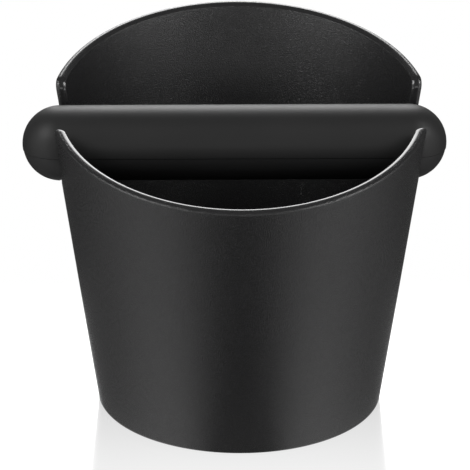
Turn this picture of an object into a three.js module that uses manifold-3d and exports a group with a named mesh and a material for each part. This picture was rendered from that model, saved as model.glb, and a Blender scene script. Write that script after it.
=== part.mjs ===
// Espresso knock box: a tapered bucket whose mouth slants down to the front, a soft-skinned bar
// that drops into two notches in the bucket's side walls, and a non-slip ring under the base.
// Millimetres, +Z up, +Y to the back, the origin on the bucket's axis where it stands.
import * as THREE from 'three';
import { mergeVertices } from 'three/addons/utils/BufferGeometryUtils.js';
import Module from 'manifold-3d';

// Bucket: a cone that widens upwards.
const baseRadius = 55.2;
const draftAngle = THREE.MathUtils.degToRad(7.7);
const wall = 3.8;
const floorThickness = 4;
const baseEdgeRadius = 1.5;
const floorCornerRadius = 7;

// Mouth: one slanted plane, with a lip rounded more inside than outside.
const mouthHeight = 119.9;
const mouthSlant = THREE.MathUtils.degToRad(15.4);
const outerLipRadius = 1;
const innerLipRadius = 2;
const hornRadius = 2.6;
const shoulderRadius = 5;

// Knock bar: a capsule laid across the bucket, split at a level seam below its axis.
const barOverhang = 10.72;
const barRadius = 14.3;
const barDrop = 15.75;
const barShift = -1.9;
const coverDepth = 8.5;
const sleeveThickness = 3;
const coreWall = 3;
const baseInset = 0.2;
const slotDepth = 2.2;
const plateauHeight = 2;
const ribThickness = 2;
const ribPitch = 16;
const ribRelief = 0.8;

// Non-slip ring, pressed into a groove under the base.
const footWidth = 5;
const footHeight = 2.6;
const footProud = 0.8;
const footInset = 9;
const footEdgeRadius = 0.6;

// Fits.
const fitGap = 0.3;
const cradleGap = 0.4;
const cutOverrun = 5;

// How finely the round forms are stepped.
const rimSteps = 14;
const cornerSteps = 4;
const cradleSteps = 6;
const sideSteps = 2;
const notchFloorSteps = 5;
const wallSteps = 6;
const lipSteps = 3;
const barSides = 48;
const coreSides = 24;
const domeSteps = 10;
const coreDomeSteps = 5;
const ringSides = 72;
const ringEdgeSteps = 2;

// The columns of the bucket's skin fan out below a notch, so that they stay in order round the
// bucket. A column that reached the mouth's full height above the notch would lean by this angle.
const columnFan = THREE.MathUtils.degToRad(32);

const quarterTurn = Math.PI / 2;
const wallTaper = Math.tan(draftAngle);
const mouthRise = Math.tan(mouthSlant);
const underside = footProud;
const floorLevel = underside + floorThickness;
const cradleRadius = barRadius + cradleGap;
const barHeight = mouthHeight - barDrop;
const barLength = 2 * (outerRadius(barHeight) + barOverhang);
const notchFloor = barHeight - cradleRadius + slotDepth;
const seamLevel = barHeight - barRadius + coverDepth;

const wasm = await Module();
wasm.setup();

function outerRadius(z) {
  return baseRadius + wallTaper * z;
}

function lerp(from, to, share) {
  return from + (to - from) * share;
}

function steps(count) {
  return Array.from({ length: count + 1 }, (_, index) => index / count);
}

// Points of an arc in a side view, as [across, up].
function arc(across, up, radius, from, to, count) {
  return steps(count).map((share) => {
    const angle = lerp(from, to, share);
    return [across + radius * Math.cos(angle), up + radius * Math.sin(angle)];
  });
}

// A straight run between two points of a side view, without its ends.
function between(from, to, count) {
  return steps(count).slice(1, -1).map((share) => [lerp(from[0], to[0], share), lerp(from[1], to[1], share)]);
}

// Each station of the mouth is a function that gives the point which lies `drop` below the
// mouth's edge and `depth` inside the outer wall.
function rimStation(angle) {
  return (drop, depth) => {
    const level = mouthHeight - drop / Math.cos(mouthSlant);
    const reach = outerRadius(level) - depth;
    const radius = reach / (1 - wallTaper * mouthRise * Math.sin(angle));
    const y = radius * Math.sin(angle);
    return new THREE.Vector3(radius * Math.cos(angle), y, level + mouthRise * y);
  };
}

function notchStation([y, z], [inwardY, inwardZ]) {
  return (drop, depth) => {
    const y1 = y + drop * inwardY;
    const z1 = z + drop * inwardZ;
    const radius = outerRadius(z1) - depth;
    return new THREE.Vector3(Math.sqrt(radius * radius - y1 * y1), y1, z1);
  };
}

// Centre of the arc that rounds the mouth's plane into the side of a notch.
function cornerCentre(radius, side) {
  const y = side * (cradleRadius + radius);
  return [y, mouthHeight + mouthRise * y - radius / Math.cos(mouthSlant)];
}

// The notch in a side view, from the front horn round under the bar to the back shoulder.
function notchLine() {
  const planeNormal = quarterTurn + mouthSlant;
  const floorAngle = Math.asin((barHeight - notchFloor) / cradleRadius);
  const horn = arc(...cornerCentre(hornRadius, -1), hornRadius, planeNormal, 0, cornerSteps);
  const front = arc(0, barHeight, cradleRadius, Math.PI, Math.PI + floorAngle, cradleSteps);
  const back = arc(0, barHeight, cradleRadius, -floorAngle, 0, cradleSteps);
  const shoulder = arc(...cornerCentre(shoulderRadius, 1), shoulderRadius, Math.PI, planeNormal, cornerSteps);
  return [
    ...horn,
    ...between(horn.at(-1), front[0], sideSteps),
    ...front,
    ...between(front.at(-1), back[0], notchFloorSteps),
    ...back,
    ...between(back.at(-1), shoulder[0], sideSteps),
    ...shoulder,
  ];
}

function mouthStations() {
  const line = notchLine();
  const notch = line.map((point, index) => {
    const before = line[Math.max(index - 1, 0)];
    const after = line[Math.min(index + 1, line.length - 1)];
    const run = Math.hypot(after[0] - before[0], after[1] - before[1]);
    return notchStation(point, [(after[1] - before[1]) / run, (before[0] - after[0]) / run]);
  });
  const hornAngle = angleOf(notch[0](0, 0));
  const shoulderAngle = angleOf(notch.at(-1)(0, 0));
  const front = steps(rimSteps).slice(0, -1).map((share) => rimStation(lerp(-quarterTurn, hornAngle, share)));
  const back = steps(rimSteps).slice(1).map((share) => rimStation(lerp(shoulderAngle, quarterTurn, share)));
  return [...front, ...notch, ...back];
}

function angleOf(point) {
  return Math.atan2(point.y, point.x);
}

function onCircle(angle, radius, z) {
  return new THREE.Vector3(radius * Math.cos(angle), radius * Math.sin(angle), z);
}

// The lip as [depth, drop], from the wall's outer face over the edge to its inner face.
function lipSection() {
  return [
    ...arc(outerLipRadius, outerLipRadius, -outerLipRadius, 0, quarterTurn, lipSteps),
    ...arc(wall - innerLipRadius, innerLipRadius, innerLipRadius, -quarterTurn, 0, lipSteps),
  ];
}

// One column of the bucket's skin, from the underside out, up, over the lip and down inside.
function bucketColumn(station) {
  const edge = station(0, 0);
  const angle = angleOf(edge);
  const lean = columnFan * ((edge.z - notchFloor) / mouthHeight) * (1 - Math.abs(angle) / quarterTurn);
  const footAngle = angle + Math.sign(angle) * lean;

  const grooveTop = footHeight + fitGap;
  const ringRadius = baseRadius - footInset;
  const grooveHalf = footWidth / 2 + fitGap;
  const edgeCentre = underside + baseEdgeRadius;
  const edgeTurn = quarterTurn - draftAngle;
  const edgeAcross = outerRadius(edgeCentre) - baseEdgeRadius / Math.cos(draftAngle);
  const cornerCentreZ = floorLevel + floorCornerRadius;
  const cornerAcross = outerRadius(cornerCentreZ) - wall - floorCornerRadius / Math.cos(draftAngle);

  const base = [
    [ringRadius - grooveHalf, underside],
    [ringRadius - grooveHalf, grooveTop],
    [ringRadius + grooveHalf, grooveTop],
    [ringRadius + grooveHalf, underside],
    ...arc(edgeAcross, edgeCentre, baseEdgeRadius, -quarterTurn, -quarterTurn + edgeTurn, cornerSteps - 1),
  ].map(([radius, z]) => onCircle(footAngle, radius, z));
  const corner = arc(cornerAcross, cornerCentreZ, floorCornerRadius, -draftAngle, -quarterTurn, cornerSteps)
    .map(([radius, z]) => onCircle(footAngle, radius, z));

  const climb = (from, to, depth) => steps(wallSteps).slice(1, -1).map((share) => {
    const z = lerp(from.z, to.z, share);
    const turn = lerp(angleOf(from), angleOf(to), share);
    return onCircle(turn, outerRadius(z) - depth, z);
  });
  const lip = lipSection().map(([depth, drop]) => station(drop, depth));
  return [
    ...base,
    ...climb(base.at(-1), lip[0], 0),
    ...lip,
    ...climb(lip.at(-1), corner[0], wall),
    ...corner,
  ];
}

// Stitches columns that stand in a ring into one closed skin, with a pole at either end.
function loft(columns, startPole, endPole) {
  const rows = columns[0].length;
  const positions = [...columns.flat(), startPole, endPole].flatMap((point) => point.toArray());
  const start = columns.length * rows;
  const triangles = [];
  columns.forEach((_, index) => {
    const here = index * rows;
    const next = ((index + 1) % columns.length) * rows;
    triangles.push(start, next, here);
    for (let row = 0; row < rows - 1; row += 1) {
      triangles.push(here + row, next + row, next + row + 1);
      triangles.push(here + row, next + row + 1, here + row + 1);
    }
    triangles.push(here + rows - 1, next + rows - 1, start + 1);
  });
  const geometry = new THREE.BufferGeometry();
  geometry.setAttribute('position', new THREE.Float32BufferAttribute(positions, 3));
  geometry.setIndex(triangles);
  return geometry;
}

function makeBin() {
  const right = mouthStations().map(bucketColumn);
  const left = right.slice(1, -1).toReversed()
    .map((column) => column.map((point) => new THREE.Vector3(-point.x, point.y, point.z)));
  return loft([...right, ...left], new THREE.Vector3(0, 0, underside), new THREE.Vector3(0, 0, floorLevel));
}

// A ring turned about the bucket's axis from a closed section of [radius, z] points.
function turnedRing(section) {
  const profile = [...section, section[0]].map(([radius, z]) => new THREE.Vector2(radius, z));
  return new THREE.LatheGeometry(profile, ringSides).rotateX(quarterTurn);
}

function makeFootRing() {
  const radius = baseRadius - footInset;
  const half = footWidth / 2;
  const inner = radius - half + footEdgeRadius;
  const outer = radius + half - footEdgeRadius;
  return turnedRing([
    ...arc(inner, footEdgeRadius, footEdgeRadius, Math.PI, Math.PI + quarterTurn, ringEdgeSteps),
    ...arc(outer, footEdgeRadius, footEdgeRadius, -quarterTurn, 0, ringEdgeSteps),
    [radius + half, footHeight],
    [radius - half, footHeight],
  ]);
}

function toSolid(geometry) {
  const plain = geometry.index ? geometry.clone() : geometry;
  plain.deleteAttribute('normal');
  plain.deleteAttribute('uv');
  const merged = mergeVertices(plain);
  const vertProperties = new Float32Array(merged.attributes.position.array);
  const triVerts = new Uint32Array(merged.index.array);
  return new wasm.Manifold(new wasm.Mesh({ numProp: 3, vertProperties, triVerts }));
}

function toGeometry(solid) {
  const mesh = solid.getMesh();
  const geometry = new THREE.BufferGeometry();
  geometry.setAttribute('position', new THREE.BufferAttribute(mesh.vertProperties, 3));
  geometry.setIndex(new THREE.BufferAttribute(mesh.triVerts, 1));
  return geometry;
}

// The bar's outline, shrunk evenly by `inset`, as a capsule along X.
function capsule(inset, sides = barSides, endSteps = domeSteps) {
  const radius = barRadius - inset;
  const half = barLength / 2 - barRadius;
  const profile = [
    ...arc(0, -half, radius, -quarterTurn, 0, endSteps),
    ...arc(0, half, radius, 0, quarterTurn, endSteps),
  ].map(([across, up]) => new THREE.Vector2(across, up));
  profile[0].x = 0;
  profile.at(-1).x = 0;
  const geometry = new THREE.LatheGeometry(profile, sides);
  return toSolid(geometry.rotateZ(-quarterTurn).translate(barShift, 0, barHeight));
}

// A block that holds everything of the bar between two levels.
function slab(low, high) {
  const length = barLength + 2 * (cutOverrun + Math.abs(barShift));
  const width = 2 * (barRadius + cutOverrun);
  return toSolid(new THREE.BoxGeometry(length, width, high - low).translate(0, 0, (low + high) / 2));
}

function makeSleeve() {
  const top = barHeight + barRadius + cutOverrun;
  return toGeometry(capsule(0).subtract(capsule(sleeveThickness)).intersect(slab(seamLevel, top)));
}

// The core is a channel, open below, stiffened by cross ribs that stop above the plateau.
function makeCore() {
  const inset = sleeveThickness + fitGap;
  const top = barHeight + barRadius + cutOverrun;
  const ribFoot = seamLevel + plateauHeight + ribRelief;
  const ribSpan = barLength - 2 * (inset + coreWall + barRadius);
  const ribCount = Math.max(2, Math.round(ribSpan / ribPitch));
  let pocket = capsule(inset + coreWall, coreSides, coreDomeSteps).intersect(slab(seamLevel - cutOverrun, top));
  steps(ribCount).forEach((share) => {
    const x = barShift + lerp(-ribSpan / 2, ribSpan / 2, share);
    const rib = new THREE.BoxGeometry(ribThickness, 2 * barRadius, top - ribFoot);
    pocket = pocket.subtract(toSolid(rib.translate(x, 0, (top + ribFoot) / 2)));
  });
  return toGeometry(capsule(inset, coreSides, coreDomeSteps).intersect(slab(seamLevel, top)).subtract(pocket));
}

// The base closes the bar from below. Its plateau locates in the core, and its two slots drop
// over the bucket's wall, wide enough for the taper that the wall has within them.
function makeBarBase() {
  const top = seamLevel - fitGap;
  const bottom = barHeight - barRadius - cutOverrun;
  const pocketInset = sleeveThickness + fitGap + coreWall;
  const shell = capsule(baseInset).intersect(slab(bottom, top));
  const plateauShape = capsule(pocketInset + fitGap, coreSides, coreDomeSteps);
  const plateau = plateauShape.intersect(slab(top - baseInset, seamLevel + plateauHeight));
  const slotInner = outerRadius(barHeight - barRadius) - wall - fitGap;
  const slotOuter = outerRadius(notchFloor) + fitGap;
  const slotTop = notchFloor + fitGap;
  const slot = turnedRing([[slotInner, bottom], [slotOuter, bottom], [slotOuter, slotTop], [slotInner, slotTop]]);
  return toGeometry(shell.add(plateau).subtract(toSolid(slot)));
}

const hardPlastic = new THREE.MeshStandardMaterial({ color: '#2b2b2c', roughness: 0.62, metalness: 0 });
const barPlastic = new THREE.MeshStandardMaterial({ color: '#262627', roughness: 0.55, metalness: 0 });
const softSkin = new THREE.MeshStandardMaterial({ color: '#2a2a2a', roughness: 0.48, metalness: 0 });
const ringRubber = new THREE.MeshStandardMaterial({ color: '#1c1c1c', roughness: 0.8, metalness: 0 });

function part(name, geometry, material) {
  const mesh = new THREE.Mesh(geometry, material);
  mesh.name = name;
  return mesh;
}

const bucket = new THREE.Group();
bucket.add(part('bin', makeBin(), hardPlastic));
bucket.add(part('foot_ring', makeFootRing(), ringRubber));

const knockBar = new THREE.Group();
knockBar.add(part('knock_bar_sleeve', makeSleeve(), softSkin));
knockBar.add(part('knock_bar_core', makeCore(), barPlastic));
knockBar.add(part('knock_bar_base', makeBarBase(), barPlastic));

const knockBox = new THREE.Group();
knockBox.add(bucket, knockBar);

export default knockBox;
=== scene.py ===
import math

import bmesh
import bpy
from mathutils import Matrix, Vector


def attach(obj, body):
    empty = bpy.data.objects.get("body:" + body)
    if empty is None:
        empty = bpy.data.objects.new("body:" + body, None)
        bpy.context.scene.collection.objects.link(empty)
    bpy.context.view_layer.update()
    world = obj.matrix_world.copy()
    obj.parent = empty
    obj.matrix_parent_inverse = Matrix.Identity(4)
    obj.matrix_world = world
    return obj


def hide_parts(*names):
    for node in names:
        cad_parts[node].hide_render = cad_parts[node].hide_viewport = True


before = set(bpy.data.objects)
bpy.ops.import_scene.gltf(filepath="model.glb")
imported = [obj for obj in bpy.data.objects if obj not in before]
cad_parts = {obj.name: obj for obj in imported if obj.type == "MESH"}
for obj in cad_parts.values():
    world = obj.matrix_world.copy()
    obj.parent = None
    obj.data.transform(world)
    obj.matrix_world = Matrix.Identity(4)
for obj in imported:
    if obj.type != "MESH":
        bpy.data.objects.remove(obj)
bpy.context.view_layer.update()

MM = 0.001
QUARTER_TURN = math.pi / 2
HALF_TURN = math.pi
FULL_TURN = 2 * math.pi
UPRIGHT = (0, 0, 1)

# Bucket, with the sizes of the CAD. Below the horns and shoulders the columns of its wall fan out.
BASE_RADIUS = 55.2 * MM
DRAFT = math.radians(7.7)
WALL = 3.8 * MM
UNDERSIDE = 0.8 * MM
FLOOR_THICKNESS = 4 * MM
BASE_EDGE_RADIUS = 1.5 * MM
FLOOR_CORNER_RADIUS = 7 * MM
MOUTH_HEIGHT = 119.9 * MM
MOUTH_SLANT = math.radians(15.4)
HORN_RADIUS = 2.6 * MM
SHOULDER_RADIUS = 5 * MM
COLUMN_FAN = math.radians(32)

# Lip of the bucket: a shallow crown across the wall, with a small round at each of its edges.
LIP_CROWN_RADIUS = 2.8 * MM
LIP_OUTER_RADIUS = 0.9 * MM
LIP_INNER_RADIUS = 0.3 * MM

# Smoothness of the lip at each depth into the wall: 0 keeps the grain whole, and 1 has none.
LIP_DULL_LINE = 1.3 * MM
LIP_SMOOTH_FROM = 1.9 * MM
LIP_POLISH_STOPS = (
    (0, 0),
    (LIP_OUTER_RADIUS, 0.6),
    (LIP_DULL_LINE, 0.3),
    (LIP_SMOOTH_FROM, 1),
    (WALL - LIP_INNER_RADIUS, 1),
    (WALL, 0),
)

# Foot ring, which sits in a groove of the base.
FOOT_WIDTH = 5 * MM
FOOT_HEIGHT = 2.6 * MM
FOOT_INSET = 9 * MM
FOOT_RADIUS = BASE_RADIUS - FOOT_INSET
FOOT_EDGE_RADIUS = 0.6 * MM
FIT_GAP = 0.3 * MM

# Knock bar. The levels of the seam and of the core's underside are measured from the bar's axis.
BAR_RADIUS = 14.3 * MM
BAR_OVERHANG = 10.72 * MM
BAR_DROP = 15.75 * MM
BAR_HEIGHT = MOUTH_HEIGHT - BAR_DROP
BAR_SHIFT = -1.9 * MM
SLEEVE_THICKNESS = 3 * MM
SEAM_LEVEL = -1.7 * MM
SEAM_GAP = 0.2 * MM
SEAM_ROUNDING = 0.25 * MM
COVER_DEPTH = 8.5 * MM
COVER_INSET = 0.2 * MM
CORE_LEVEL = COVER_DEPTH - BAR_RADIUS

# Notch that the bar lies in: a cradle round the bar, with a flat floor.
CRADLE_GAP = 0.4 * MM
CRADLE_RADIUS = BAR_RADIUS + CRADLE_GAP
CRADLE_FLAT = 2.2 * MM
NOTCH_FLOOR = BAR_HEIGHT - CRADLE_RADIUS + CRADLE_FLAT

# Steps in each curve.
RIM_STEPS = 48
CORNER_STEPS = 14
HORN_SIDE_STEPS = 4
SHOULDER_SIDE_STEPS = 8
CRADLE_STEPS = 12
NOTCH_FLOOR_STEPS = 12
LIP_EDGE_STEPS = 5
LIP_CROWN_STEPS = 10
WALL_STEPS = 16
BASE_EDGE_STEPS = 8
FLOOR_CORNER_STEPS = 10
DOME_STEPS = 24
BARREL_STEPS = 24
BAR_TURN_STEPS = 96
SLOT_TURN_STEPS = 256
FOOT_EDGE_STEPS = 5
FOOT_TURN_STEPS = 192
SEAM_ROUNDING_STEPS = 4

# Mesh making.
MERGE_DISTANCE = 0.0005 * MM
CUT_TOLERANCE = 0.0001 * MM
SHARP_ANGLE = math.radians(35)

TAPER = math.tan(DRAFT)
MOUTH_RISE = math.tan(MOUTH_SLANT)


def outer_radius(z):
    return BASE_RADIUS + TAPER * z


BAR_LENGTH = 2 * (outer_radius(BAR_HEIGHT) + BAR_OVERHANG)


def lerp(start, end, share):
    return start + (end - start) * share


def shares(count):
    """Even shares from 0 to 1, in `count` steps."""
    return [index / count for index in range(count + 1)]


def arc(centre, radius, start, end, count):
    """Points (across, up) on an arc from one angle to another."""
    across, up = centre
    angles = [lerp(start, end, share) for share in shares(count)]
    return [(across + radius * math.cos(a), up + radius * math.sin(a)) for a in angles]


def between(start, end, count):
    """The points that divide a line into `count` steps, without its ends."""
    inner = shares(count)[1:-1]
    return [(lerp(start[0], end[0], share), lerp(start[1], end[1], share)) for share in inner]


def on_circle(angle, radius, z):
    return Vector((radius * math.cos(angle), radius * math.sin(angle), z))


def angle_of(point):
    return math.atan2(point.y, point.x)


# A station is a place on the mouth's edge. It gives the point that lies `drop` below the edge there,
# and `depth` into the wall from outside.
def rim_station(angle):
    """A station on the slanted rim."""

    def place(drop, depth):
        level = MOUTH_HEIGHT - drop / math.cos(MOUTH_SLANT)
        reach = outer_radius(level) - depth
        radius = reach / (1 - TAPER * MOUTH_RISE * math.sin(angle))
        y = radius * math.sin(angle)
        return Vector((radius * math.cos(angle), y, level + MOUTH_RISE * y))

    return place


def notch_station(point, inward):
    """A station on the notch, at a point (y, z) from which `inward` leads away from the edge."""

    def place(drop, depth):
        y = point[0] + drop * inward[0]
        z = point[1] + drop * inward[1]
        radius = outer_radius(z) - depth
        return Vector((math.sqrt(radius * radius - y * y), y, z))

    return place


def corner_centre(radius, side):
    """The centre of the round from the rim into the notch, in front of the bar (-1) or behind it (1)."""
    y = side * (CRADLE_RADIUS + radius)
    return y, MOUTH_HEIGHT + MOUTH_RISE * y - radius / math.cos(MOUTH_SLANT)


def notch_line():
    """The edge of the right notch as (y, z), from the tip of its horn to its shoulder."""
    axis = (0, BAR_HEIGHT)
    slant = QUARTER_TURN + MOUTH_SLANT
    floor_angle = math.asin((BAR_HEIGHT - NOTCH_FLOOR) / CRADLE_RADIUS)
    horn = arc(corner_centre(HORN_RADIUS, -1), HORN_RADIUS, slant, 0, CORNER_STEPS)
    front = arc(axis, CRADLE_RADIUS, HALF_TURN, HALF_TURN + floor_angle, CRADLE_STEPS)
    back = arc(axis, CRADLE_RADIUS, -floor_angle, 0, CRADLE_STEPS)
    shoulder = arc(corner_centre(SHOULDER_RADIUS, 1), SHOULDER_RADIUS, HALF_TURN, slant, CORNER_STEPS)
    return [
        *horn,
        *between(horn[-1], front[0], HORN_SIDE_STEPS),
        *front,
        *between(front[-1], back[0], NOTCH_FLOOR_STEPS),
        *back,
        *between(back[-1], shoulder[0], SHOULDER_SIDE_STEPS),
        *shoulder,
    ]


def mouth_stations():
    """The stations round the right half of the mouth, from the front to the back."""
    line = notch_line()
    notch = []
    for index, point in enumerate(line):
        before = line[max(index - 1, 0)]
        after = line[min(index + 1, len(line) - 1)]
        run = math.hypot(after[0] - before[0], after[1] - before[1])
        inward = ((after[1] - before[1]) / run, (before[0] - after[0]) / run)
        notch.append(notch_station(point, inward))
    horn_angle = angle_of(notch[0](0, 0))
    shoulder_angle = angle_of(notch[-1](0, 0))
    rim = shares(RIM_STEPS)
    front = [rim_station(lerp(-QUARTER_TURN, horn_angle, share)) for share in rim[:-1]]
    back = [rim_station(lerp(shoulder_angle, QUARTER_TURN, share)) for share in rim[1:]]
    return front + notch + back


def crown_edge(radius):
    """How far the crown leans where a round of this radius takes over, and how deep its centre lies."""
    reach = LIP_CROWN_RADIUS - radius
    lean = math.asin((WALL / 2 - radius) / reach)
    return lean, LIP_CROWN_RADIUS - reach * math.cos(lean)


def lip_section():
    """The lip as (depth, drop), from the outside to the inside."""
    outer_lean, outer_drop = crown_edge(LIP_OUTER_RADIUS)
    inner_lean, inner_drop = crown_edge(LIP_INNER_RADIUS)
    start = QUARTER_TURN - outer_lean
    end = QUARTER_TURN + inner_lean
    outer_centre = (LIP_OUTER_RADIUS, outer_drop)
    crown_centre = (WALL / 2, LIP_CROWN_RADIUS)
    inner_centre = (WALL - LIP_INNER_RADIUS, inner_drop)
    outer = arc(outer_centre, -LIP_OUTER_RADIUS, 0, start, LIP_EDGE_STEPS)
    crown = arc(crown_centre, -LIP_CROWN_RADIUS, start, end, LIP_CROWN_STEPS)
    inner = arc(inner_centre, -LIP_INNER_RADIUS, end, HALF_TURN, LIP_EDGE_STEPS)
    return outer + crown[1:-1] + inner


def lip_polish(depth):
    """How far the grain gives way to a smooth surface, `depth` into the lip."""
    for (start, low), (end, high) in zip(LIP_POLISH_STOPS, LIP_POLISH_STOPS[1:]):
        if depth <= end:
            return lerp(low, high, (depth - start) / (end - start))
    return 0


def underside_section():
    """The base as (radius, height), from the axis over the foot ring's groove to the wall."""
    groove_top = FOOT_HEIGHT + FIT_GAP
    groove_half = FOOT_WIDTH / 2 + FIT_GAP
    level = UNDERSIDE + BASE_EDGE_RADIUS
    across = outer_radius(level) - BASE_EDGE_RADIUS / math.cos(DRAFT)
    return [
        (0, UNDERSIDE),
        (FOOT_RADIUS - groove_half, UNDERSIDE),
        (FOOT_RADIUS - groove_half, groove_top),
        (FOOT_RADIUS + groove_half, groove_top),
        (FOOT_RADIUS + groove_half, UNDERSIDE),
        *arc((across, level), BASE_EDGE_RADIUS, -QUARTER_TURN, -DRAFT, BASE_EDGE_STEPS),
    ]


def floor_section():
    """The bucket's floor as (radius, height), from the wall round the inside corner to the axis."""
    floor_level = UNDERSIDE + FLOOR_THICKNESS
    level = floor_level + FLOOR_CORNER_RADIUS
    across = outer_radius(level) - WALL - FLOOR_CORNER_RADIUS / math.cos(DRAFT)
    return [
        *arc((across, level), FLOOR_CORNER_RADIUS, -DRAFT, -QUARTER_TURN, FLOOR_CORNER_STEPS),
        (0, floor_level),
    ]


def wall_column(start, end, depth):
    """The points between two ends of a column of the wall, `depth` into it from outside."""
    column = []
    for share in shares(WALL_STEPS)[1:-1]:
        z = lerp(start.z, end.z, share)
        angle = lerp(angle_of(start), angle_of(end), share)
        column.append(on_circle(angle, outer_radius(z) - depth, z))
    return column


def bucket_column(station):
    """The bucket's section below one station, as its outside, its lip and its inside."""
    edge = station(0, 0)
    angle = angle_of(edge)
    height_share = (edge.z - NOTCH_FLOOR) / MOUTH_HEIGHT
    fan = COLUMN_FAN * height_share * (1 - abs(angle) / QUARTER_TURN)
    foot_angle = angle + math.copysign(fan, angle) if angle else 0
    underside = [on_circle(foot_angle, radius, z) for radius, z in underside_section()]
    floor = [on_circle(foot_angle, radius, z) for radius, z in floor_section()]
    lip = [station(drop, depth) for depth, drop in lip_section()]
    outside = [*underside, *wall_column(underside[-1], lip[0], 0)]
    inside = [*wall_column(lip[-1], floor[0], WALL), *floor]
    return outside, lip, inside


def merge_doubles(bm):
    bmesh.ops.remove_doubles(bm, verts=bm.verts[:], dist=MERGE_DISTANCE)


def to_object(bm, name):
    """Closes the shape, points its faces out, keeps its real edges sharp and makes an object of it."""
    merge_doubles(bm)
    bmesh.ops.recalc_face_normals(bm, faces=bm.faces[:])
    for face in bm.faces:
        face.smooth = True
    for edge in bm.edges:
        edge.smooth = len(edge.link_faces) != 2 or edge.calc_face_angle() < SHARP_ANGLE
    mesh = bpy.data.meshes.new(name)
    bm.to_mesh(mesh)
    bm.free()
    obj = bpy.data.objects.new(name, mesh)
    bpy.context.scene.collection.objects.link(obj)
    return obj


def spin_chain(bm, chain, axis, count):
    """Joins a chain of vertices and spins it right round an axis through the origin."""
    edges = [bm.edges.new(pair) for pair in zip(chain, chain[1:])]
    bmesh.ops.spin(
        bm,
        geom=chain + edges,
        cent=(0, 0, 0),
        axis=axis,
        angle=FULL_TURN,
        steps=count,
        use_merge=True,
        use_duplicate=False,
    )


def spin_section(bm, section, axis, count):
    """Spins a section, given as (across, up), right round an axis in its plane."""
    spin_chain(bm, [bm.verts.new((across, 0, up)) for across, up in section], axis, count)


def make_bucket():
    """A section spun round the axis, whose columns are then drawn out to the mouth and its notches."""
    parts = [bucket_column(station) for station in mouth_stations()]
    right = [[*outside, *lip, *inside] for outside, lip, inside in parts]
    left = [[Vector((-p.x, p.y, p.z)) for p in column] for column in reversed(right[1:-1])]
    columns = right + left
    lip_row = len(parts[0][0])
    polish = {lip_row + row: lip_polish(depth) for row, (depth, _) in enumerate(lip_section())}

    # The spun section stands a little off the axis, so that its ends don't merge there too early.
    bm = bmesh.new()
    row_of = bm.verts.layers.int.new("row")
    polish_of = bm.verts.layers.float.new("lip_polish")
    chain = [bm.verts.new((0, -(p.xy.length + MM), p.z)) for p in columns[0]]
    for row, vert in enumerate(chain):
        vert[row_of] = row
    spin_chain(bm, chain, UPRIGHT, len(columns))
    for vert in bm.verts:
        turn = math.atan2(vert.co.x, -vert.co.y) / FULL_TURN
        vert.co = columns[round(turn * len(columns)) % len(columns)][vert[row_of]]
        vert[polish_of] = polish.get(vert[row_of], 0)
    return to_object(bm, "bucket_shell")


def make_foot_ring():
    """The non-slip ring, with both of its lower edges rounded."""
    inside = FOOT_RADIUS - FOOT_WIDTH / 2
    outside = FOOT_RADIUS + FOOT_WIDTH / 2
    rounding = FOOT_EDGE_RADIUS
    section = [
        *arc((inside + rounding, rounding), rounding, -HALF_TURN, -QUARTER_TURN, FOOT_EDGE_STEPS),
        *arc((outside - rounding, rounding), rounding, -QUARTER_TURN, 0, FOOT_EDGE_STEPS),
        (outside, FOOT_HEIGHT),
        (inside, FOOT_HEIGHT),
    ]
    bm = bmesh.new()
    spin_section(bm, [*section, section[0]], UPRIGHT, FOOT_TURN_STEPS)
    return to_object(bm, "non_slip_ring")


def add_capsule(bm, inset):
    """A capsule along the bar's axis, `inset` below its skin, with its middle at the origin."""
    radius = BAR_RADIUS - inset
    half = BAR_LENGTH / 2 - BAR_RADIUS
    left = arc((-half, 0), radius, HALF_TURN, QUARTER_TURN, DOME_STEPS)
    right = arc((half, 0), radius, QUARTER_TURN, 0, DOME_STEPS)
    outline = [*left, *between(left[-1], right[0], BARREL_STEPS), *right]
    spin_section(bm, outline, (1, 0, 0), BAR_TURN_STEPS)
    merge_doubles(bm)


def cut_level(bm, level, keep_above):
    """Cuts away what lies past a level and returns the edges of the cut."""
    cut = bmesh.ops.bisect_plane(
        bm,
        geom=bm.verts[:] + bm.edges[:] + bm.faces[:],
        dist=CUT_TOLERANCE,
        plane_co=(0, 0, level),
        plane_no=(0, 0, -1 if keep_above else 1),
        clear_outer=True,
    )
    return [item for item in cut["geom_cut"] if isinstance(item, bmesh.types.BMEdge)]


def capped_capsule(inset, level, keep_above):
    """A solid capsule that ends flat at a level, and the edges of that flat."""
    bm = bmesh.new()
    add_capsule(bm, inset)
    edges = cut_level(bm, level, keep_above)
    bmesh.ops.contextual_create(bm, geom=edges)
    return bm, edges


def round_seam(bm, edges):
    bmesh.ops.bevel(
        bm,
        geom=edges,
        offset=SEAM_ROUNDING,
        segments=SEAM_ROUNDING_STEPS,
        profile=0.5,
        affect="EDGES",
        material=-1,
        clamp_overlap=True,
    )


def place_bar(bm):
    bmesh.ops.translate(bm, verts=bm.verts[:], vec=(BAR_SHIFT, 0, BAR_HEIGHT))


def make_sleeve():
    """The bar's soft skin: two nested capsules, cut at the seam and joined there by a rounded edge."""
    bm = bmesh.new()
    add_capsule(bm, 0)
    add_capsule(bm, SLEEVE_THICKNESS)
    edges = cut_level(bm, SEAM_LEVEL, keep_above=True)
    bmesh.ops.bridge_loops(bm, edges=edges)
    round_seam(bm, edges)
    place_bar(bm)
    return to_object(bm, "bar_sleeve_skin")


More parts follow.
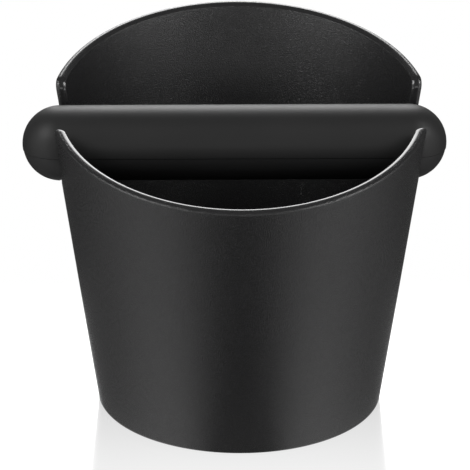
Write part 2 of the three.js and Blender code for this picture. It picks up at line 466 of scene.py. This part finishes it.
def make_slot_cutter():
    """A ring a little wider than the bucket's wall and as high as the floor of its notches."""
    bottom = BAR_HEIGHT - 2 * BAR_RADIUS
    top = NOTCH_FLOOR + FIT_GAP
    inner = outer_radius(BAR_HEIGHT - BAR_RADIUS) - WALL - FIT_GAP
    outer = outer_radius(NOTCH_FLOOR) + FIT_GAP
    section = [(inner, bottom), (outer, bottom), (outer, top), (inner, top), (inner, bottom)]
    bm = bmesh.new()
    spin_section(bm, section, UPRIGHT, SLOT_TURN_STEPS)
    return to_object(bm, "slot_cutter")


def make_core_room():
    """The room that the core takes inside the cover's rim."""
    bm, _ = capped_capsule(SLEEVE_THICKNESS, CORE_LEVEL - FIT_GAP, keep_above=True)
    place_bar(bm)
    return to_object(bm, "core_room")


def apply_modifiers(obj):
    bpy.context.view_layer.update()
    graph = bpy.context.evaluated_depsgraph_get()
    mesh = bpy.data.meshes.new_from_object(obj.evaluated_get(graph))
    obj.modifiers.clear()
    obj.data = mesh


def cut_away(obj, cutter):
    """Takes the cutter's shape out of an object, and the cutter out of the scene."""
    cut = obj.modifiers.new("cut", "BOOLEAN")
    cut.operation = "DIFFERENCE"
    cut.solver = "EXACT"
    cut.object = cutter
    apply_modifiers(obj)
    bpy.data.objects.remove(cutter)


def make_bar_cover():
    """The hard cover under the bar, whose rim stands up to the seam and whose slots clear the wall."""
    bm, edges = capped_capsule(COVER_INSET, SEAM_LEVEL - SEAM_GAP, keep_above=False)
    round_seam(bm, edges)
    place_bar(bm)
    cover = to_object(bm, "bar_bottom_cover")
    cut_away(cover, make_slot_cutter())
    cut_away(cover, make_core_room())
    return cover


# Finishes. Nearly all values of a noise lie in NOISE_SPAN.
NOISE_SPAN = (0.3, 0.7)
POLISHED_ROUGHNESS = 0.14


def new_material(name):
    material = bpy.data.materials.new(name)
    material.use_nodes = True
    return material, material.node_tree


def add_noise(tree, scale, detail):
    """Noise in the piece's own space, so that it stays put on the piece."""
    space = tree.nodes.new("ShaderNodeTexCoord")
    noise = tree.nodes.new("ShaderNodeTexNoise")
    noise.inputs["Scale"].default_value = scale
    noise.inputs["Detail"].default_value = detail
    tree.links.new(space.outputs["Object"], noise.inputs["Vector"])
    return noise.outputs["Fac"]


def add_math(tree, operation, *values):
    node = tree.nodes.new("ShaderNodeMath")
    node.operation = operation
    for socket, value in zip(node.inputs, values):
        if isinstance(value, (int, float)):
            socket.default_value = value
        else:
            tree.links.new(value, socket)
    return node.outputs["Value"]


def add_map(tree, value, span, ends, kind="LINEAR"):
    """Goes from one of `ends` to the other as the value crosses the span, and holds them past it."""
    node = tree.nodes.new("ShaderNodeMapRange")
    node.interpolation_type = kind
    node.inputs["From Min"].default_value = span[0]
    node.inputs["From Max"].default_value = span[1]
    node.inputs["To Min"].default_value = ends[0]
    node.inputs["To Max"].default_value = ends[1]
    tree.links.new(value, node.inputs["Value"])
    return node.outputs["Result"]


def add_ease(tree, value, span, ends):
    """As add_map, but starts and stops gently."""
    return add_map(tree, value, span, ends, "SMOOTHSTEP")


def add_tint(tree, value, dark, light):
    ramp = tree.nodes.new("ShaderNodeValToRGB")
    for element, position, colour in zip(ramp.color_ramp.elements, NOISE_SPAN, (dark, light)):
        element.position = position
        element.color = (*colour, 1)
    tree.links.new(value, ramp.inputs["Fac"])
    return ramp.outputs["Color"]


def add_bump(tree, height, depth, strength=None):
    bump = tree.nodes.new("ShaderNodeBump")
    bump.inputs["Strength"].default_value = 1
    bump.inputs["Distance"].default_value = depth
    tree.links.new(height, bump.inputs["Height"])
    if strength is not None:
        tree.links.new(strength, bump.inputs["Strength"])
    return bump.outputs["Normal"]


def spark_grain_plastic():
    """Black moulded plastic with the fine grain of a spark-eroded tool, which the lip has lost."""
    material, tree = new_material("spark_grain_plastic")
    inputs = tree.nodes["Principled BSDF"].inputs
    attribute = tree.nodes.new("ShaderNodeAttribute")
    attribute.attribute_name = "lip_polish"
    polish = attribute.outputs["Fac"]
    grain = add_noise(tree, scale=3000, detail=0.6)
    tint = add_tint(tree, grain, dark=(0.013, 0.013, 0.0133), light=(0.023, 0.023, 0.0235))
    grained_roughness = add_map(tree, grain, NOISE_SPAN, ends=(0.34, 0.14))
    full_change = add_math(tree, "SUBTRACT", POLISHED_ROUGHNESS, grained_roughness)
    change = add_math(tree, "MULTIPLY", full_change, polish)
    roughness = add_math(tree, "ADD", grained_roughness, change)
    grain_left = add_math(tree, "SUBTRACT", 1, polish)
    bump = add_bump(tree, grain, depth=0.18 * MM, strength=grain_left)
    inputs["Specular IOR Level"].default_value = 0.5
    tree.links.new(tint, inputs["Base Color"])
    tree.links.new(roughness, inputs["Roughness"])
    tree.links.new(bump, inputs["Normal"])
    return material


def mottled_black(name, specular, mottle, tints, roughness, grain, depth):
    """A black finish with a mottle in its tone and gloss, and a grain of some depth in its surface."""
    material, tree = new_material(name)
    inputs = tree.nodes["Principled BSDF"].inputs
    tone = add_noise(tree, *mottle)
    inputs["Specular IOR Level"].default_value = specular
    tree.links.new(add_tint(tree, tone, *tints), inputs["Base Color"])
    tree.links.new(add_map(tree, tone, NOISE_SPAN, roughness), inputs["Roughness"])
    tree.links.new(add_bump(tree, add_noise(tree, *grain), depth), inputs["Normal"])
    return material


def soft_skin():
    """Smooth satin black soft-touch skin."""
    return mottled_black(
        "satin_soft_skin",
        specular=0.3,
        mottle=(25, 2),
        tints=((0.016, 0.016, 0.016), (0.019, 0.019, 0.019)),
        roughness=(0.45, 0.51),
        grain=(900, 2),
        depth=0.004 * MM,
    )


def hard_cover_plastic():
    """Black satin moulded plastic of the bar's cover and core."""
    return mottled_black(
        "bar_cover_plastic",
        specular=0.28,
        mottle=(25, 2),
        tints=((0.016, 0.016, 0.0163), (0.02, 0.02, 0.0203)),
        roughness=(0.42, 0.48),
        grain=(1100, 3),
        depth=0.01 * MM,
    )


def foot_rubber():
    """Dull black non-slip rubber."""
    return mottled_black(
        "foot_rubber",
        specular=0.3,
        mottle=(700, 3),
        tints=((0.009, 0.009, 0.009), (0.014, 0.014, 0.014)),
        roughness=(0.7, 0.82),
        grain=(700, 3),
        depth=0.03 * MM,
    )


def paint(obj, material):
    obj.data.materials.clear()
    obj.data.materials.append(material)


def dress(obj, material, body, node):
    paint(obj, material)
    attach(obj, body)
    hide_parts(node)


# Floor: white to the camera, with a sheen that fades out round the box. The light that it throws
# back on the box is that of a grey floor, save in the box's gloss, which shows painted light on it.
FLOOR_SIZE = 8.0
FLOOR_CELLS = 8
FLOOR_GREY = 0.5
FLOOR_SHEEN = 0.35
FLOOR_SHEEN_ROUGHNESS = 0.12
FLOOR_SHEEN_FADE_X = (70 * MM, 130 * MM)
FLOOR_SHEEN_FADE_Y = (0, 115 * MM)
FLOOR_MATT_SHARE = 0.15

# Painted light: in the box's gloss the floor glows as if lit by the side lamps, bright to the sides,
# dark in front and dim behind, with a faint glow from the box's foot back. The angles are from the
# front, round a point a little way in front of the box's axis.
GLOW_CENTRE = 30 * MM
GLOW_LEVEL = 0.85
GLOW_RISE = (math.radians(14), math.radians(50))
GLOW_FALL = (math.radians(55), math.radians(115))
GLOW_BEHIND_SHARE = 0.19
GLOW_FAR_SHARE = 0.45
GLOW_FAR_FADE = (55 * MM, 105 * MM)
FOOT_GLOW_LEVEL = 0.13
FOOT_GLOW_FADE = (-105 * MM, -60 * MM)

# World: a dim room that lights the box. The camera sees it white, and gloss shows a white backdrop
# behind the box. The turn is a span of a direction's Y, and the backdrop's foot and top are of its Z.
ROOM_IN_FRONT = 0.2
ROOM_BEHIND = 0.14
ROOM_TURN = (-0.6, 0.3)
BACKDROP_LEVEL = 1.0
BACKDROP_SIDE = (math.radians(10), math.radians(30))
BACKDROP_FOOT = (0.1, 0.34)
BACKDROP_TOP = (0.6, 0.72)
LAMP_DISTANCE = 1.0


def add_light_path(tree):
    """Two values: 1 for what the camera sees directly, and 1 for what gloss and glass show."""
    path = tree.nodes.new("ShaderNodeLightPath")
    gloss = path.outputs["Is Glossy Ray"]
    glass = path.outputs["Is Transmission Ray"]
    return path.outputs["Is Camera Ray"], add_math(tree, "MAXIMUM", gloss, glass)


def add_place(tree, space):
    """X, Y and Z in one of the spaces of a texture coordinate."""
    place = tree.nodes.new("ShaderNodeTexCoord")
    split = tree.nodes.new("ShaderNodeSeparateXYZ")
    tree.links.new(place.outputs[space], split.inputs["Vector"])
    return split.outputs["X"], split.outputs["Y"], split.outputs["Z"]


def add_mix(tree, share, first, second):
    mix = tree.nodes.new("ShaderNodeMixShader")
    if isinstance(share, float):
        mix.inputs["Fac"].default_value = share
    else:
        tree.links.new(share, mix.inputs["Fac"])
    tree.links.new(first, mix.inputs[1])
    tree.links.new(second, mix.inputs[2])
    return mix.outputs["Shader"]


def add_diffuse(tree, level):
    diffuse = tree.nodes.new("ShaderNodeBsdfDiffuse")
    diffuse.inputs["Color"].default_value = (level, level, level, 1)
    return diffuse.outputs["BSDF"]


def add_painted_floor_glow(tree, aside, y):
    """Painted light: how brightly the floor glows in the box's gloss, at each place on it."""
    ahead = add_math(tree, "SUBTRACT", -GLOW_CENTRE, y)
    azimuth = add_math(tree, "ARCTAN2", aside, ahead)
    rise = add_ease(tree, azimuth, GLOW_RISE, (0, GLOW_LEVEL))
    fall = add_ease(tree, azimuth, GLOW_FALL, (1, GLOW_BEHIND_SHARE))
    foot = add_ease(tree, y, FOOT_GLOW_FADE, (0, FOOT_GLOW_LEVEL))
    far_share = add_ease(tree, y, GLOW_FAR_FADE, (1, GLOW_FAR_SHARE))
    near = add_math(tree, "MAXIMUM", add_math(tree, "MULTIPLY", rise, fall), foot)
    return add_math(tree, "MULTIPLY", near, far_share)


def pale_floor():
    material, tree = new_material("pale_floor")
    tree.nodes.remove(tree.nodes["Principled BSDF"])
    camera, reflected = add_light_path(tree)
    x, y, _ = add_place(tree, "Object")
    aside = add_math(tree, "ABSOLUTE", x)
    off_centre = add_math(tree, "ABSOLUTE", y)

    # The glow is an even white to the camera, and painted light in the box's gloss.
    glow = tree.nodes.new("ShaderNodeEmission")
    glow_level = add_math(tree, "MAXIMUM", camera, add_painted_floor_glow(tree, aside, y))
    tree.links.new(glow_level, glow.inputs["Strength"])

    sheen = tree.nodes.new("ShaderNodeBsdfGlossy")
    sheen.inputs["Roughness"].default_value = FLOOR_SHEEN_ROUGHNESS
    finish = add_mix(tree, FLOOR_MATT_SHARE, sheen.outputs["BSDF"], add_diffuse(tree, 1))
    fade_x = add_ease(tree, aside, FLOOR_SHEEN_FADE_X, (1, 0))
    fade_y = add_map(tree, off_centre, FLOOR_SHEEN_FADE_Y, (FLOOR_SHEEN, 0))
    sheen_share = add_math(tree, "MULTIPLY", fade_x, fade_y)

    polished = add_mix(tree, sheen_share, glow.outputs["Emission"], finish)
    seen = add_math(tree, "MAXIMUM", camera, reflected)
    surface = add_mix(tree, seen, add_diffuse(tree, FLOOR_GREY), polished)
    tree.links.new(surface, tree.nodes["Material Output"].inputs["Surface"])
    return material


def make_floor():
    bm = bmesh.new()
    bmesh.ops.create_grid(bm, x_segments=FLOOR_CELLS, y_segments=FLOOR_CELLS, size=FLOOR_SIZE / 2)
    floor = to_object(bm, "floor")
    paint(floor, pale_floor())


def make_world():
    world = bpy.data.worlds.new("studio")
    bpy.context.scene.world = world
    world.use_nodes = True
    tree = world.node_tree
    camera, reflected = add_light_path(tree)
    x, y, z = add_place(tree, "Generated")

    room = tree.nodes["Background"]
    room.inputs["Color"].default_value = (1, 1, 1, 1)
    room_level = add_ease(tree, y, ROOM_TURN, (ROOM_IN_FRONT, ROOM_BEHIND))
    tree.links.new(room_level, room.inputs["Strength"])

    backdrop = tree.nodes.new("ShaderNodeBackground")
    backdrop.inputs["Color"].default_value = (1, 1, 1, 1)
    backdrop.inputs["Strength"].default_value = BACKDROP_LEVEL
    aside = add_math(tree, "ARCTAN2", add_math(tree, "ABSOLUTE", x), y)
    above_foot = add_ease(tree, z, BACKDROP_FOOT, (0, 1))
    below_top = add_ease(tree, z, BACKDROP_TOP, (1, 0))
    between_sides = add_ease(tree, aside, BACKDROP_SIDE, (1, 0))
    upright = add_math(tree, "MULTIPLY", above_foot, below_top)
    backdrop_share = add_math(tree, "MULTIPLY", upright, between_sides)

    seen = add_math(tree, "MAXIMUM", camera, add_math(tree, "MULTIPLY", backdrop_share, reflected))
    surface = add_mix(tree, seen, room.outputs["Background"], backdrop.outputs["Background"])
    tree.links.new(surface, tree.nodes["World Output"].inputs["Surface"])


def towards(azimuth, elevation):
    """A direction from the box, with azimuth 0 to its front and 90 degrees to its right."""
    level = math.cos(elevation)
    return Vector((math.sin(azimuth) * level, -math.cos(azimuth) * level, math.sin(elevation)))


def add_lamp(name, azimuth, elevation, width, height, level):
    """A soft box that faces the knock box, as bright as `level` times white, with angles in degrees."""
    light = bpy.data.lights.new(name, "AREA")
    light.shape = "RECTANGLE"
    light.size = width
    light.size_y = height
    light.energy = math.pi * width * height * level
    lamp = bpy.data.objects.new(name, light)
    place = LAMP_DISTANCE * towards(math.radians(azimuth), math.radians(elevation))
    aim = Vector((0, 0, MOUTH_HEIGHT / 2)) - place
    lamp.rotation_euler = aim.to_track_quat("-Z", "Y").to_euler()
    lamp.location = place
    lamp.visible_camera = False
    bpy.context.scene.collection.objects.link(lamp)


def make_lamps():
    for side, name in ((-1, "left"), (1, "right")):
        add_lamp(name + "_softbox", azimuth=side * 60, elevation=43, width=0.32, height=0.36, level=9.2)
        add_lamp(name + "_fill", azimuth=side * 68, elevation=18, width=1.0, height=0.6, level=0.75)
        add_lamp(name + "_strip", azimuth=side * 47, elevation=4, width=0.3, height=0.25, level=2.5)
    add_lamp("back_softbox", azimuth=180, elevation=35, width=0.55, height=0.52, level=5.2)
    add_lamp("front_strip", azimuth=0, elevation=15, width=0.9, height=0.2, level=1.7)


# Camera, fitted to the outline of the bucket and the bar. Its sensor is in millimetres.
IMAGE_PIXELS = 470
FOCAL_PIXELS = 2083
AXIS_PIXEL = 239.66
SENSOR = 36
CAMERA_AZIMUTH = math.radians(-1.2)
CAMERA_ELEVATION = math.radians(21)
CAMERA_ROLL = math.radians(0.13)
CAMERA_DISTANCE = 0.8
AIM_HEIGHT = 66.65 * MM


def make_camera():
    data = bpy.data.cameras.new("photo_camera")
    data.sensor_width = SENSOR
    data.lens = SENSOR * FOCAL_PIXELS / IMAGE_PIXELS
    data.shift_x = (IMAGE_PIXELS / 2 - AXIS_PIXEL) / IMAGE_PIXELS
    camera = bpy.data.objects.new("photo_camera", data)
    direction = towards(CAMERA_AZIMUTH, CAMERA_ELEVATION)
    facing = direction.to_track_quat("Z", "Y").to_matrix() @ Matrix.Rotation(CAMERA_ROLL, 3, "Z")
    camera.rotation_euler = facing.to_euler()
    camera.location = Vector((0, 0, AIM_HEIGHT)) + CAMERA_DISTANCE * direction
    bpy.context.scene.collection.objects.link(camera)
    bpy.context.scene.camera = camera


bar_plastic = hard_cover_plastic()
dress(make_bucket(), spark_grain_plastic(), "bucket", "bin")
dress(make_foot_ring(), foot_rubber(), "bucket", "foot_ring")
dress(make_sleeve(), soft_skin(), "knock_bar", "knock_bar_sleeve")
dress(make_bar_cover(), bar_plastic, "knock_bar", "knock_bar_base")
paint(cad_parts["knock_bar_core"], bar_plastic)

make_floor()
make_world()
make_lamps()
make_camera()
bpy.context.scene.view_settings.view_transform = "Standard"
